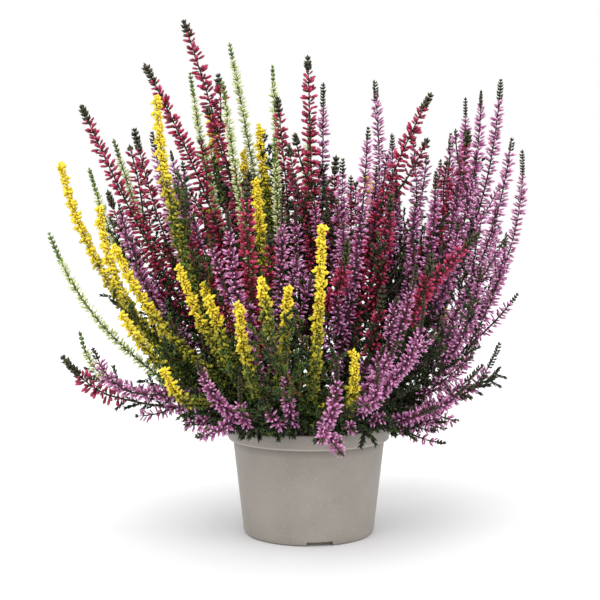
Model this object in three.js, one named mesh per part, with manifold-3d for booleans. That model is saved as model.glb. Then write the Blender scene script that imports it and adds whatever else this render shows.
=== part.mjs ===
// Potted heather: a mixed planting of flowering and foliage heather in a plain plastic pot.
// Millimetres, +Z up. The origin is on the pot's axis at the floor, and -Y faces the viewer.
import * as THREE from 'three';
import { mergeVertices } from 'three/addons/utils/BufferGeometryUtils.js';
import Module from 'manifold-3d';

const wasm = await Module();
wasm.setup();

// Pot
const potHeight = 88;
const rimRadius = 65;
const collarHeight = 12;
const collarBottomRadius = 64.3;
const bodyTopRadius = 60.6;
const footRadius = 51.9;
const wallThickness = 1.8;
const rimRounding = 0.8;
const footRounding = 3;
const footChamfer = 0.9;
const footRingWidth = 5;
const basePlateHeight = 3.6;
const basePlateThickness = 2;
const notchCount = 3;
const notchWidth = 20.5;
const notchDepth = 14;
const notchBearing = -80.7;
const drainCount = 6;
const drainRadius = 3.5;
const drainCircle = 36;
const firstDrainBearing = 30;
const drainSides = 8;
const potSides = 40;

// Soil, and the plain hole that each stem stands in
const soilTop = 82;
const soilCrown = 2.5;
const crownRadius = 40;
const crownSag = 0.4;
const fitGap = 0.3;
const holeDepth = 18;

// Stems and what clothes them
const woodRadius = 1.7;
const twigRadius = 1.2;
const stemAboveSoil = 1.5;
const woodStep = 46;
const stemRoutePoints = 60;
const shortestStep = 5;
const innermostRoot = 5;
const outermostRoot = 47;
const widestReach = 190;
const rootHandleShare = 0.36;
const tipHandleShare = 0.36;
const lowTipHandleShare = 0.6;
const uprightSlant = 45;
const lowSlant = 68;
const flattestStart = 78;
const mostInwardStart = -12;
const firstForkAt = 0.16;
const lastForkAt = 0.3;
const onlyForkAt = 0.216;

// How far florets or leaves stand out, how much they point up, the thickness of the core they
// grow from, the spacing of their whorls and the length of the tapered tip
const clothing = {
  pink: { reach: 5.6, rise: 3.5, core: 2.3, pitch: 17, tip: 15 },
  crimson: { reach: 6.2, rise: 2.5, core: 2.1, pitch: 16.5, tip: 18 },
  yellow: { reach: 4.9, rise: 4.5, core: 2.6, pitch: 16.5, tip: 14 },
  white: { reach: 4.8, rise: 3.5, core: 1.9, pitch: 16.5, tip: 17 },
};
const pitchGrowth = 0.065;
const tipPointShare = 0.45;
const fadeLengthShare = 1.6;
const leastFade = 0.45;
const leastTaper = 0.25;
const bareFoot = 8;
const leafyShoot = { reach: 5.4, rise: 4, core: 2.3, pitch: 10, tip: 10 };

// The stems of each spray: the tip's x, y and height, the tip's lean outwards from upright in
// degrees, and the clothed length below the tip. Those after the first fork from the first.
const sprays = {
  white: [
    [[-193, -65, 240, 19, 190], [-181, -10, 162, 8, 60]],
    [[-177, 20, 291, 15, 120], [-159, 30, 315, 18, 120]],
    [[-99, 70, 372, 14, 150], [-84, 45, 300, 10, 80]],
    [[-66, -30, 355, 8, 150]],
    [[-64, 30, 392, 14, 160]],
    [[-31, 110, 383, 10, 130], [-27, -20, 314, 4, 100], [1, 20, 332, 5, 70]],
  ],
  yellow: [
    [[-187, -50, 292, 12, 240]],
    [[-156, -60, 259, 0, 150], [-135, -100, 183, 28, 80]],
    [[-143, -80, 231, 18, 170], [-105, -95, 142, 20, 60]],
    [[-112, -70, 340, 4, 150], [-79, -60, 203, 10, 60]],
    [[-85, 90, 341, 10, 80], [-53, 50, 307, 0, 60]],
    [[-40, 10, 325, 8, 120], [-40, -60, 280, 12, 120]],
    [[-95, -90, 217, 20, 130], [-73, -100, 195, 26, 70]],
    [[8, -140, 246, 3, 150], [-34, -150, 211, 8, 50]],
    [[31, -105, 157, 8, 80], [10, -88, 114, 12, 24]],
    [[-50, -130, 193, 12, 100], [-16, -120, 202, 5, 90]],
  ],
  crimson: [
    [[-182, 20, 340, 22, 210]],
    [[-145, 60, 324, 15, 140], [-168, 60, 273, 17, 80]],
    [[-128, -10, 370, 27, 190], [-98, -15, 275, 18, 80]],
    [[-99, 10, 406, 19, 200]],
    [[-26, 60, 351, 14, 140], [-34, 30, 281, 5, 70]],
    [[-45, -90, 277, 5, 150], [-95, -40, 250, 12, 80]],
    [[-1, -10, 376, 6, 180], [22, 20, 300, 5, 90], [28, -75, 235, 5, 70]],
    [[97, 10, 349, 28, 200], [62, -40, 268, 10, 90], [126, 2, 320, 4, 120]],
    [[125, -72, 240, 48, 100], [90, -75, 225, 12, 60]],
    [[55, -60, 199, 5, 60], [42, -20, 250, 5, 90]],
    [[-185, -60, 147, 35, 60]],
  ],
  pink: [
    [[-150, 0, 262, 13, 120], [-125, 20, 230, 10, 60]],
    [[-119, -40, 316, 10, 170], [-111, 20, 305, 14, 120]],
    [[-58, -110, 257, 6, 170], [-20, -70, 270, 5, 110]],
    [[12, 40, 361, 0, 160], [0, 60, 312, 0, 90], [-10, -35, 262, 3, 80]],
    [[44, -50, 319, 2, 190], [26, -30, 296, 3, 90]],
    [[53, 30, 362, -8, 170], [34, 20, 285, 0, 80]],
    [[85, 50, 324, -12, 120], [72, 90, 323, -5, 90], [70, 15, 290, 0, 80]],
    [[114, 20, 318, 0, 150], [138, 40, 285, 0, 80]],
    [[131, 60, 351, -2, 140]],
    [[134, -10, 350, 0, 180], [97, -30, 286, 0, 110], [112, -48, 250, 3, 70]],
    [[154, 20, 361, 3, 180], [112, 70, 300, 0, 80]],
    [[155, -30, 312, 6, 160]],
    [[184, 90, 309, -4, 190], [160, 75, 262, 2, 80]],
    [[150, -40, 240, 2, 120], [128, -60, 215, 6, 70]],
    [[80, -120, 197, 3, 140]],
    [[78, -80, 217, 12, 110]],
    [[-80, -110, 150, 28, 80], [-50, -105, 138, 8, 60]],
    [[-15, -120, 165, 4, 90], [-34, -98, 124, 12, 40]],
    [[-157, -90, 157, 24, 150]],
    [[132, -50, 140, 40, 70], [149, -20, 154, 16, 70]],
    [[120, -70, 130, 48, 60], [96, -70, 112, 60, 36]],
    [[63, -110, 165, 26, 60], [49, -104, 149, -6, 50]],
    [[19, -130, 153, 4, 70]],
  ],
};

// The far side of the plant is filled by a rule: sprays of three stems, fanned behind the axis
const farSide = { count: 7, firstBearing: 24, lastBearing: 156, stems: 3, spread: 7 };
const farKinds = ['pink', 'yellow', 'crimson', 'pink', 'white', 'crimson', 'yellow'];
const farNearest = 72;
const farFurthest = 164;
const farTipLean = 10;
const farClothed = 75;
const farLowest = 135;
const farHighest = 295;
const farBearingScatter = 3;
const farHeightScatter = 20;

// Short leafy shoots that fill the rim, forked from the nearest stem
const skirt = { count: 24, reach: 78, sideReach: 20, height: 93, droop: 2, lean: 100, scatter: 4 };
const skirtBearingScatter = 5;
const skirtForkAt = 0.08;
const skirtClothed = 0.8;
const skirtHomeShare = 0.6;
const skirtCrowding = 14;

// How crossing stems are bent clear
const bendRounds = 260;
const bendSamples = 34;
const bendEase = 0.225;
const closestGap = 0.2;
const startingNudge = 0.1;
const stemClearance = 1.3;
const rimClearance = 1.4;
const rimEase = 0.5;
const stiffFootShare = 0.04;
const liftedFromShare = 0.12;
const forkFreedom = 16;
const tipSideFreedom = 0.12;
const boxMargin = 7;

// A seeded draw by the mulberry32 rule, so that every build places the same stems
let drawState = 20260;
function draw() {
  drawState = (drawState + 0x6d2b79f5) | 0;
  let mixed = Math.imul(drawState ^ (drawState >>> 15), 1 | drawState);
  mixed = (mixed + Math.imul(mixed ^ (mixed >>> 7), 61 | mixed)) ^ mixed;
  return ((mixed ^ (mixed >>> 14)) >>> 0) / 2 ** 32;
}
const between = (low, high) => low + (high - low) * draw();
const radians = THREE.MathUtils.degToRad;
const clamp = THREE.MathUtils.clamp;

const plant = new THREE.Group();
plant.name = 'potted_heather';

function finish(colour, roughness) {
  return new THREE.MeshStandardMaterial({ color: colour, roughness, metalness: 0 });
}

const finishes = {
  pot: finish('#a69e96', 0.75),
  soil: finish('#3a2b20', 0.95),
  pink: finish('#b970a8', 0.7),
  crimson: finish('#8f1d3c', 0.6),
  yellow: finish('#d8c021', 0.7),
  white: finish('#a9bd84', 0.7),
};

// A closed three.js geometry as a solid, and back
function toSolid(geometry) {
  const bare = geometry.index ? geometry.toNonIndexed() : geometry.clone();
  bare.deleteAttribute('normal');
  bare.deleteAttribute('uv');
  const merged = mergeVertices(bare, 1e-4);
  return new wasm.Manifold(new wasm.Mesh({
    numProp: 3,
    vertProperties: Float32Array.from(merged.attributes.position.array),
    triVerts: Uint32Array.from(merged.index.array),
  }));
}

function toGeometry(solid) {
  const mesh = solid.getMesh();
  const geometry = new THREE.BufferGeometry();
  geometry.setAttribute('position', new THREE.BufferAttribute(mesh.vertProperties, 3));
  geometry.setIndex(new THREE.BufferAttribute(mesh.triVerts, 1));
  geometry.computeVertexNormals();
  return geometry;
}

function addPart(name, solid, material) {
  const mesh = new THREE.Mesh(toGeometry(solid), material);
  mesh.name = name;
  plant.add(mesh);
}

// A ring or plug turned about the pot's axis, from its radius and height pairs
function turned(outline) {
  const points = outline.map(([radius, height]) => new THREE.Vector2(radius, height));
  const geometry = new THREE.LatheGeometry(points, potSides);
  geometry.rotateX(Math.PI / 2);
  return toSolid(geometry);
}

const wallSlope = (bodyTopRadius - footRadius) / (potHeight - collarHeight);
const outerWallAt = (height) => footRadius + wallSlope * height;
const innerWallAt = (height) => outerWallAt(height) - wallThickness;
const plateTop = basePlateHeight + basePlateThickness;

function makePot() {
  const collarFoot = potHeight - collarHeight;
  let pot = turned([
    [0, basePlateHeight],
    [footRadius - footRounding - footRingWidth, basePlateHeight],
    [footRadius - footRounding - footRingWidth, 0],
    [footRadius - footRounding, 0],
    [outerWallAt(footRounding) - footChamfer, footChamfer],
    [outerWallAt(footRounding), footRounding],
    [outerWallAt(collarFoot), collarFoot],
    [collarBottomRadius, collarFoot],
    [rimRadius, potHeight - rimRounding],
    [rimRadius - rimRounding, potHeight],
    [innerWallAt(potHeight) + rimRounding, potHeight],
    [innerWallAt(potHeight), potHeight - rimRounding],
    [innerWallAt(plateTop), plateTop],
    [0, plateTop],
    [0, basePlateHeight],
  ]);
  for (let i = 0; i < notchCount; i += 1) {
    const bearing = radians(notchBearing + (i * 360) / notchCount);
    const notch = new THREE.BoxGeometry(notchDepth, notchWidth, 2 * basePlateHeight);
    notch.translate(footRadius, 0, 0);
    notch.rotateZ(bearing);
    pot = pot.subtract(toSolid(notch));
  }
  for (let i = 0; i < drainCount; i += 1) {
    const bearing = radians(firstDrainBearing + (i * 360) / drainCount);
    const drain = new THREE.CylinderGeometry(drainRadius, drainRadius, 4 * plateTop, drainSides);
    drain.rotateX(Math.PI / 2);
    drain.translate(drainCircle * Math.cos(bearing), drainCircle * Math.sin(bearing), plateTop);
    pot = pot.subtract(toSolid(drain));
  }
  return pot;
}

// One stem: a curve from its root in the soil or its fork to its tip. It starts at about the
// slant that an arc from root to tip would have, and ends at the tip's own lean.
function makeStem(kind, tip, tipLean, clothed, trunk, forkAt) {
  const stem = { clothed, trunk, forkAt, forks: [], leafy: false, clothes: clothing[kind] };
  if (trunk) trunk.forks.push(forkAt);
  stem.tip = new THREE.Vector3(...tip);
  const bearing = Math.atan2(stem.tip.y, stem.tip.x);
  if (trunk) {
    stem.root = pointOn(trunk, forkAt);
  } else {
    const share = clamp(Math.hypot(stem.tip.x, stem.tip.y) / widestReach, 0, 1);
    const distance = THREE.MathUtils.lerp(innermostRoot, outermostRoot, share);
    stem.root = new THREE.Vector3(
      distance * Math.cos(bearing),
      distance * Math.sin(bearing),
      soilTop + stemAboveSoil,
    );
  }
  const across = stem.tip.clone().sub(stem.root);
  const heading = Math.atan2(across.y, across.x);
  const slant = THREE.MathUtils.radToDeg(Math.atan2(Math.hypot(across.x, across.y), across.z));
  const startLean = clamp(2 * slant - tipLean, mostInwardStart, flattestStart);
  const lowness = clamp((slant - uprightSlant) / (lowSlant - uprightSlant), 0, 1);
  const rootHandle = across.length() * rootHandleShare;
  const tipShare = THREE.MathUtils.lerp(tipHandleShare, lowTipHandleShare, lowness);
  const tipHandle = across.length() * tipShare;
  stem.rise = stem.root.clone().addScaledVector(leaning(startLean, heading), rootHandle);
  stem.bend = stem.tip.clone().addScaledVector(leaning(tipLean, heading), -tipHandle);
  return stem;
}

function leaning(lean, heading) {
  const outwards = Math.sin(radians(lean));
  return new THREE.Vector3(
    outwards * Math.cos(heading),
    outwards * Math.sin(heading),
    Math.cos(radians(lean)),
  );
}

function routeWeights(share) {
  const rest = 1 - share;
  return [rest ** 3, 3 * rest * rest * share, 3 * rest * share * share, share ** 3];
}

function pointOn(stem, share, target = new THREE.Vector3()) {
  const weights = routeWeights(share);
  target.copy(stem.root).multiplyScalar(weights[0]);
  target.addScaledVector(stem.rise, weights[1]);
  target.addScaledVector(stem.bend, weights[2]);
  return target.addScaledVector(stem.tip, weights[3]);
}

function lengthTo(stem, share) {
  const last = pointOn(stem, 0);
  const here = new THREE.Vector3();
  let walked = 0;
  for (let i = 1; i <= stemRoutePoints; i += 1) {
    pointOn(stem, (share * i) / stemRoutePoints, here);
    walked += here.distanceTo(last);
    last.copy(here);
  }
  return walked;
}

function shareAt(stem, distance) {
  const last = pointOn(stem, 0);
  const here = new THREE.Vector3();
  let walked = 0;
  for (let i = 1; i <= stemRoutePoints; i += 1) {
    pointOn(stem, i / stemRoutePoints, here);
    const step = here.distanceTo(last);
    if (walked + step >= distance) {
      return (i - 1 + (distance - walked) / step) / stemRoutePoints;
    }
    walked += step;
    last.copy(here);
  }
  return 1;
}

// Every spray is a list of stems; the first stands in the soil
function layOutSprays() {
  const all = [];
  for (const [kind, list] of Object.entries(sprays)) {
    list.forEach((rows) => all.push({ kind, rows }));
  }
  for (let i = 0; i < farSide.count; i += 1) {
    const along = i / (farSide.count - 1);
    const bearing = THREE.MathUtils.lerp(farSide.firstBearing, farSide.lastBearing, along);
    const rows = [];
    for (let j = 0; j < farSide.stems; j += 1) {
      const scatter = between(-farBearingScatter, farBearingScatter);
      const angle = radians(bearing + farSide.spread * (j - 1) + scatter);
      const share = (j + 0.5) / farSide.stems;
      const distance = THREE.MathUtils.lerp(farFurthest, farNearest, share);
      const middleHeight = THREE.MathUtils.lerp(farLowest, farHighest, share);
      const height = middleHeight + between(-farHeightScatter, farHeightScatter);
      const x = distance * Math.cos(angle);
      const y = distance * Math.sin(angle);
      rows.push([x, y, height, farTipLean, farClothed]);
    }
    all.push({ kind: farKinds[i], rows });
  }
  return all.map(({ kind, rows }) => {
    const [first, ...forks] = rows;
    const trunk = makeStem(kind, first.slice(0, 3), first[3], first[4]);
    const branches = forks.map((row, i) => {
      const along = i / Math.max(forks.length - 1, 1);
      const spaced = THREE.MathUtils.lerp(firstForkAt, lastForkAt, along);
      const forkAt = forks.length > 1 ? spaced : onlyForkAt;
      return makeStem(kind, row.slice(0, 3), row[3], row[4], trunk, forkAt);
    });
    return { kind, stems: [trunk, ...branches] };
  });
}

function addSkirt(list) {
  for (let i = 0; i < skirt.count; i += 1) {
    const scatter = between(-skirtBearingScatter, skirtBearingScatter);
    const bearing = radians((i * 360) / skirt.count + scatter);
    const sideways = skirt.sideReach * Math.abs(Math.cos(bearing));
    const distance = skirt.reach + sideways + between(-skirt.scatter, skirt.scatter);
    const height = skirt.height + between(-skirt.droop, skirt.scatter);
    const x = distance * Math.cos(bearing);
    const y = distance * Math.sin(bearing);
    let home = null;
    let best = Infinity;
    for (const spray of list) {
      const fork = pointOn(spray.stems[0], skirtForkAt);
      const load = skirtCrowding * spray.stems.filter((stem) => stem.leafy).length;
      const gap = Math.hypot(fork.x - x * skirtHomeShare, fork.y - y * skirtHomeShare) + load;
      if (gap < best) {
        best = gap;
        home = spray;
      }
    }
    const shoot = makeStem(home.kind, [x, y, height], skirt.lean, 0, home.stems[0], skirtForkAt);
    shoot.clothed = skirtClothed * lengthTo(shoot, 1);
    shoot.leafy = true;
    shoot.clothes = leafyShoot;
    home.stems.push(shoot);
  }
}

// Half the thickness that a stem needs at a share of its route
function thicknessAt(stem, share) {
  const fromTip = (1 - share) * stem.length;
  if (fromTip > stem.clothed + stem.clothes.pitch / 2) {
    return stem.trunk ? twigRadius : woodRadius;
  }
  return stem.clothes.reach * clamp(fromTip / stem.clothes.tip, leastTaper, 1);
}

// Moves one point of a stem by moving the points that shape its curve. A root stays at the
// soil, a fork stays on its trunk, and a tip moves in depth far more than to the side.
function shift(stem, share, push) {
  const weights = routeWeights(share);
  const total = weights.reduce((sum, weight) => sum + weight * weight, 0);
  if (!stem.trunk) {
    stem.root.x += (push.x * weights[0]) / total;
    stem.root.y += (push.y * weights[0]) / total;
  }
  stem.rise.addScaledVector(push, weights[1] / total);
  stem.bend.addScaledVector(push, weights[2] / total);
  const freedom = stem.leafy ? 1 : tipSideFreedom;
  stem.tip.x += (push.x * weights[3] * freedom) / total;
  stem.tip.y += (push.y * weights[3]) / total;
  stem.tip.z += (push.z * weights[3] * freedom) / total;
}

function sampleStem(stem) {
  if (stem.trunk) pointOn(stem.trunk, stem.forkAt, stem.root);
  stem.length = lengthTo(stem, 1);
  stem.samples = [];
  stem.box = new THREE.Box3();
  for (let i = 0; i <= bendSamples; i += 1) {
    const share = i / bendSamples;
    const point = pointOn(stem, share);
    stem.samples.push({ point, share, radius: thicknessAt(stem, share) });
    stem.box.expandByPoint(point);
  }
  stem.box.expandByScalar(boxMargin);
}

// Two stems of one spray may touch where they part
function nearFork(first, second, p, q) {
  const firstFork = first.trunk ? first.root : second.root;
  const secondFork = first.trunk && second.trunk ? second.root : firstFork;
  const limit = forkFreedom + p.radius + q.radius;
  return p.point.distanceTo(firstFork) < limit || q.point.distanceTo(secondFork) < limit;
}

function pushApart(first, second, together, pushes) {
  for (const p of first.samples) {
    for (const q of second.samples) {
      const need = p.radius + q.radius + stemClearance;
      const gap = p.point.distanceTo(q.point);
      if (gap >= need || (together && nearFork(first, second, p, q))) continue;
      const push = p.point.clone().sub(q.point);
      push.multiplyScalar((bendEase * (need - gap)) / Math.max(gap, closestGap));
      if (gap < closestGap) push.set(startingNudge, startingNudge, 0);
      pushes.push([first, p.share, push], [second, q.share, push.clone().negate()]);
    }
  }
}

// Crossing stems are bent clear of each other and of the rim, a little at a time
function bendClear(list) {
  const stems = list.flatMap((spray) => spray.stems);
  const home = new Map();
  list.forEach((spray) => spray.stems.forEach((stem) => home.set(stem, spray)));
  for (let round = 0; round < bendRounds; round += 1) {
    stems.forEach(sampleStem);
    const pushes = [];
    stems.forEach((first, i) => {
      for (const second of stems.slice(i + 1)) {
        if (!first.box.intersectsBox(second.box)) continue;
        pushApart(first, second, home.get(first) === home.get(second), pushes);
      }
    });
    const counts = new Map();
    for (const [stem] of pushes) counts.set(stem, (counts.get(stem) || 0) + 1);
    for (const [stem, share, push] of pushes) {
      shift(stem, share, push.divideScalar(Math.sqrt(counts.get(stem))));
    }
    stems.forEach(keepOverRim);
    stems.forEach(keepRootIn);
  }
  stems.forEach(sampleStem);
}

function keepOverRim(stem) {
  const innerEdge = innerWallAt(potHeight);
  for (const sample of stem.samples) {
    const distance = Math.hypot(sample.point.x, sample.point.y);
    const margin = sample.radius + rimClearance;
    let floor = -Infinity;
    if (distance < innerEdge) floor = soilTop + sample.radius;
    if (distance > innerEdge - margin && distance < rimRadius + margin) floor = potHeight + margin;
    const lack = floor - sample.point.z;
    if (lack <= 0 || (sample.share < stiffFootShare && !stem.trunk)) continue;
    const tipHeight = stem.tip.z;
    const share = Math.max(sample.share, liftedFromShare);
    shift(stem, share, new THREE.Vector3(0, 0, rimEase * lack));
    if (!stem.leafy) stem.tip.z = tipHeight;
  }
}

function keepRootIn(stem) {
  if (stem.trunk) return;
  const distance = Math.hypot(stem.root.x, stem.root.y);
  if (distance > outermostRoot) {
    stem.root.x *= outermostRoot / distance;
    stem.root.y *= outermostRoot / distance;
  }
}

// The cross-sections of a stem, from its foot up: a centre and a radius, and whether it is clothed
function stations(stem) {
  const { length, clothes } = stem;
  const bareRadius = stem.trunk ? twigRadius : woodRadius;
  const marks = [];
  let fromTip = clothes.tip * tipPointShare;
  let pitch = clothes.pitch;
  while (fromTip < Math.min(stem.clothed, length - bareFoot)) {
    marks.push({ fromTip, clothed: true });
    fromTip += pitch;
    pitch *= 1 + pitchGrowth;
  }
  const bareStart = marks[marks.length - 1].fromTip;
  const joins = stem.forks.map((forkAt) => length - lengthTo(stem, forkAt));
  const bareJoins = joins.filter((mark) => mark > bareStart).sort((a, b) => a - b);
  const stops = [bareStart, ...bareJoins, length];
  for (let i = 1; i < stops.length; i += 1) {
    const stretch = stops[i] - stops[i - 1];
    if (stretch < shortestStep && i < stops.length - 1) continue;
    const steps = Math.max(1, Math.round(stretch / woodStep));
    for (let k = 1; k <= steps; k += 1) {
      marks.push({ fromTip: stops[i - 1] + (stretch * k) / steps, clothed: false });
    }
  }
  return marks.reverse().map((mark) => {
    const centre = pointOn(stem, shareAt(stem, length - mark.fromTip));
    const fade = clamp(mark.fromTip / (clothes.tip * fadeLengthShare), leastFade, 1);
    const radius = mark.clothed ? clothes.core * fade : bareRadius;
    return { centre, radius, clothed: mark.clothed, fade };
  });
}

// A three-sided stem whose sections turn by half a side each time. Where it is clothed, every
// triangle between two sections is raised to a point: one floret or tuft of leaves.
function stemSolid(stem) {
  const rings = stations(stem);
  const corners = [];
  const triangles = [];
  if (!stem.trunk) {
    const root = rings[0];
    const buried = root.centre.clone();
    buried.z = soilTop - holeDepth + fitGap;
    rings.unshift({ centre: buried, radius: root.radius, clothed: false, straight: true });
  }
  const up = new THREE.Vector3();
  const side = new THREE.Vector3(1, 0, 0);
  const other = new THREE.Vector3();
  let turn = 0;
  rings.forEach((ring, i) => {
    const next = rings[i + 1] ? rings[i + 1].centre : stem.tip;
    const last = i > 0 ? rings[i - 1].centre : ring.centre;
    up.copy(next).sub(last).normalize();
    if (!stem.trunk && i <= 1) up.set(0, 0, 1);
    side.addScaledVector(up, -side.dot(up)).normalize();
    other.crossVectors(up, side);
    if (i > 0 && !rings[i - 1].straight) turn += Math.PI / 3;
    ring.first = corners.length;
    for (let k = 0; k < 3; k += 1) {
      const angle = turn + (k * 2 * Math.PI) / 3;
      const corner = ring.centre.clone();
      corner.addScaledVector(side, ring.radius * Math.cos(angle));
      corner.addScaledVector(other, ring.radius * Math.sin(angle));
      corners.push(corner);
    }
  });
  const face = (a, b, c, lower, upper) => {
    if (!upper.clothed || !lower.clothed) {
      triangles.push([a, b, c]);
      return;
    }
    const middle = corners[a].clone().add(corners[b]).add(corners[c]).divideScalar(3);
    const axis = upper.centre.clone().sub(lower.centre);
    const along = middle.clone().sub(lower.centre).dot(axis) / axis.lengthSq();
    const heart = lower.centre.clone().addScaledVector(axis, along);
    const out = middle.clone().sub(heart).normalize();
    const reach = stem.clothes.reach * upper.fade;
    const point = heart.addScaledVector(out, reach);
    point.addScaledVector(axis.normalize(), stem.clothes.rise * upper.fade);
    const apex = corners.length;
    corners.push(point);
    triangles.push([a, b, apex], [b, c, apex], [c, a, apex]);
  };
  for (let i = 0; i + 1 < rings.length; i += 1) {
    const lower = rings[i];
    const upper = rings[i + 1];
    for (let k = 0; k < 3; k += 1) {
      const a = lower.first + k;
      const b = lower.first + ((k + 1) % 3);
      const c = upper.first + k;
      const d = upper.first + ((k + 1) % 3);
      face(a, b, c, lower, upper);
      face(c, b, d, lower, upper);
    }
  }
  const top = rings[rings.length - 1];
  const tip = corners.length;
  corners.push(stem.tip.clone());
  for (let k = 0; k < 3; k += 1) {
    triangles.push([top.first + k, top.first + ((k + 1) % 3), tip]);
  }
  triangles.push([2, 1, 0]);
  const geometry = new THREE.BufferGeometry();
  const positions = corners.flatMap((corner) => corner.toArray());
  geometry.setAttribute('position', new THREE.Float32BufferAttribute(positions, 3));
  geometry.setIndex(triangles.flat());
  return toSolid(geometry);
}

// The soil plug, with a hole for each stem that stands in it
function stemHole(root) {
  const radius = woodRadius + 2 * fitGap;
  const height = holeDepth + 2 * soilCrown;
  const hole = new THREE.CylinderGeometry(radius, radius, height, 3, 1, false, Math.PI / 2);
  hole.rotateX(Math.PI / 2);
  hole.translate(root.x, root.y, soilTop - holeDepth + height / 2);
  return toSolid(hole);
}

function makeSoil(list) {
  const bottom = plateTop + fitGap;
  const shoulder = soilTop - soilCrown;
  const soil = turned([
    [0, bottom],
    [innerWallAt(plateTop) - fitGap, bottom],
    [innerWallAt(shoulder) - fitGap, shoulder],
    [crownRadius, soilTop - crownSag],
    [0, soilTop],
    [0, bottom],
  ]);
  const holes = list.map((spray) => stemHole(spray.stems[0].root));
  return soil.subtract(wasm.Manifold.union(holes));
}

const planted = layOutSprays();
addSkirt(planted);
bendClear(planted);

addPart('pot', makePot(), finishes.pot);
addPart('soil', makeSoil(planted), finishes.soil);
const sprayNumber = {};
for (const spray of planted) {
  sprayNumber[spray.kind] = (sprayNumber[spray.kind] || 0) + 1;
  const name = `${spray.kind}_spray_${String(sprayNumber[spray.kind]).padStart(2, '0')}`;
  const solid = spray.stems.map(stemSolid).reduce((whole, piece) => whole.add(piece));
  addPart(name, solid, finishes[spray.kind]);
}

export default plant;
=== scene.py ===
import heapq
import math
import random
import time

import bmesh
import bpy
from mathutils import Matrix, Quaternion, Vector


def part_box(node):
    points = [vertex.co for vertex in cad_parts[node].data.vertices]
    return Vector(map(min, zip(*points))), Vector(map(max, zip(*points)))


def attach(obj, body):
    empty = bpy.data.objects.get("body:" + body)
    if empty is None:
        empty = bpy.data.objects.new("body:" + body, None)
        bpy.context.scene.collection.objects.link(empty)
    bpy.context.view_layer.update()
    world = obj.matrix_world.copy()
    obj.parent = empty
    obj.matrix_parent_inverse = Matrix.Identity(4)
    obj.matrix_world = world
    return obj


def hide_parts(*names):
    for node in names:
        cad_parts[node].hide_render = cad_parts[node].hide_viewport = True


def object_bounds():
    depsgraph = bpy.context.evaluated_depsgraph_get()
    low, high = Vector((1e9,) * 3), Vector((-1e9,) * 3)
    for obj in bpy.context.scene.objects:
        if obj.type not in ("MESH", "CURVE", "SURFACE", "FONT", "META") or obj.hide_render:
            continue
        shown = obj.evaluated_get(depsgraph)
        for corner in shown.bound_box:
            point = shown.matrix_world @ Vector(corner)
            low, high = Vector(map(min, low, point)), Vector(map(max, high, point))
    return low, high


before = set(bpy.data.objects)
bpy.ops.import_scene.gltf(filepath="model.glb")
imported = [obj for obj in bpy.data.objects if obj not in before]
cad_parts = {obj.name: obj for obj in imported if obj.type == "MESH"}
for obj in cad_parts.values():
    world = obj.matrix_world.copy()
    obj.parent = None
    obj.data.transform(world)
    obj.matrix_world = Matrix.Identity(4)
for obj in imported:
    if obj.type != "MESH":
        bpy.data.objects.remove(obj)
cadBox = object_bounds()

startTime = time.time()
scene = bpy.context.scene
scene.view_settings.view_transform = "Standard"
up = Vector((0, 0, 1))


def report(words):
    print(f"{words}, {time.time() - startTime:.1f} s")


def scatter(chance, spread):
    return chance.uniform(-spread, spread)


def blend(low, high, share):
    return low + (high - low) * share


# Shader maths: a wire is one output socket, and arithmetic on wires adds Math nodes
class Wire:
    def __init__(self, finish, socket):
        self.finish = finish
        self.socket = socket

    def math(self, operation, first, second=0.0, clamp=False):
        settings = {"operation": operation, "use_clamp": clamp}
        return self.finish.node("ShaderNodeMath", settings, {0: first, 1: second})

    def __add__(self, other):
        return self.math("ADD", self, other)

    def __radd__(self, other):
        return self.math("ADD", other, self)

    def __sub__(self, other):
        return self.math("SUBTRACT", self, other)

    def __rsub__(self, other):
        return self.math("SUBTRACT", other, self)

    def __mul__(self, other):
        return self.math("MULTIPLY", self, other)

    def __rmul__(self, other):
        return self.math("MULTIPLY", other, self)

    def clamped(self):
        return self.math("ADD", self, 0.0, clamp=True)


class Finish:
    def __init__(self, name, roughness):
        self.material = bpy.data.materials.new(name)
        self.material.use_nodes = True
        self.tree = self.material.node_tree
        self.shader = self.tree.nodes["Principled BSDF"]
        self.shader.inputs["Roughness"].default_value = roughness

    def node(self, kind, settings=None, inputs=None, output=0):
        made = self.tree.nodes.new(kind)
        for key, value in (settings or {}).items():
            setattr(made, key, value)
        for key, value in (inputs or {}).items():
            self.feed(made.inputs[key], value)
        return Wire(self, made.outputs[output])

    def feed(self, socket, value):
        if isinstance(value, Wire):
            self.tree.links.new(value.socket, socket)
        else:
            socket.default_value = value

    def place(self):
        return self.node("ShaderNodeTexCoord", output="Object")

    def shade(self, output):  # X runs from the foot of a bud or leaf to its tip, Y is its tint
        spread = self.node("ShaderNodeUVMap", {"uv_map": "shade"})
        return self.node("ShaderNodeSeparateXYZ", inputs={"Vector": spread}, output=output)

    def noise(self, name):
        scale, detail = grain[name]
        inputs = {"Vector": self.place(), "Scale": scale, "Detail": detail}
        return self.node("ShaderNodeTexNoise", inputs=inputs)

    def ramp(self, factor, places, colours):
        wire = self.node("ShaderNodeValToRGB", inputs={"Fac": factor})
        stops = wire.socket.node.color_ramp.elements
        while len(stops) < len(places):
            stops.new(0.5)
        for stop, place, colour in zip(stops, places, colours):
            stop.position = place
            stop.color = padded(colour)
        return wire

    def mix(self, factor, first, second):
        settings = {"data_type": "RGBA", "blend_type": "MIX"}
        inputs = {"Factor": factor, 6: padded(first), 7: padded(second)}
        return self.node("ShaderNodeMix", settings, inputs, output=2)

    def colour(self, value):
        self.feed(self.shader.inputs["Base Color"], value)

    def bump(self, height, strength, distance):
        inputs = {"Height": height, "Strength": strength, "Distance": distance}
        self.feed(self.shader.inputs["Normal"], self.node("ShaderNodeBump", inputs=inputs))


def padded(colour):
    return colour if isinstance(colour, Wire) else (*colour[:3], 1.0)


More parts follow.
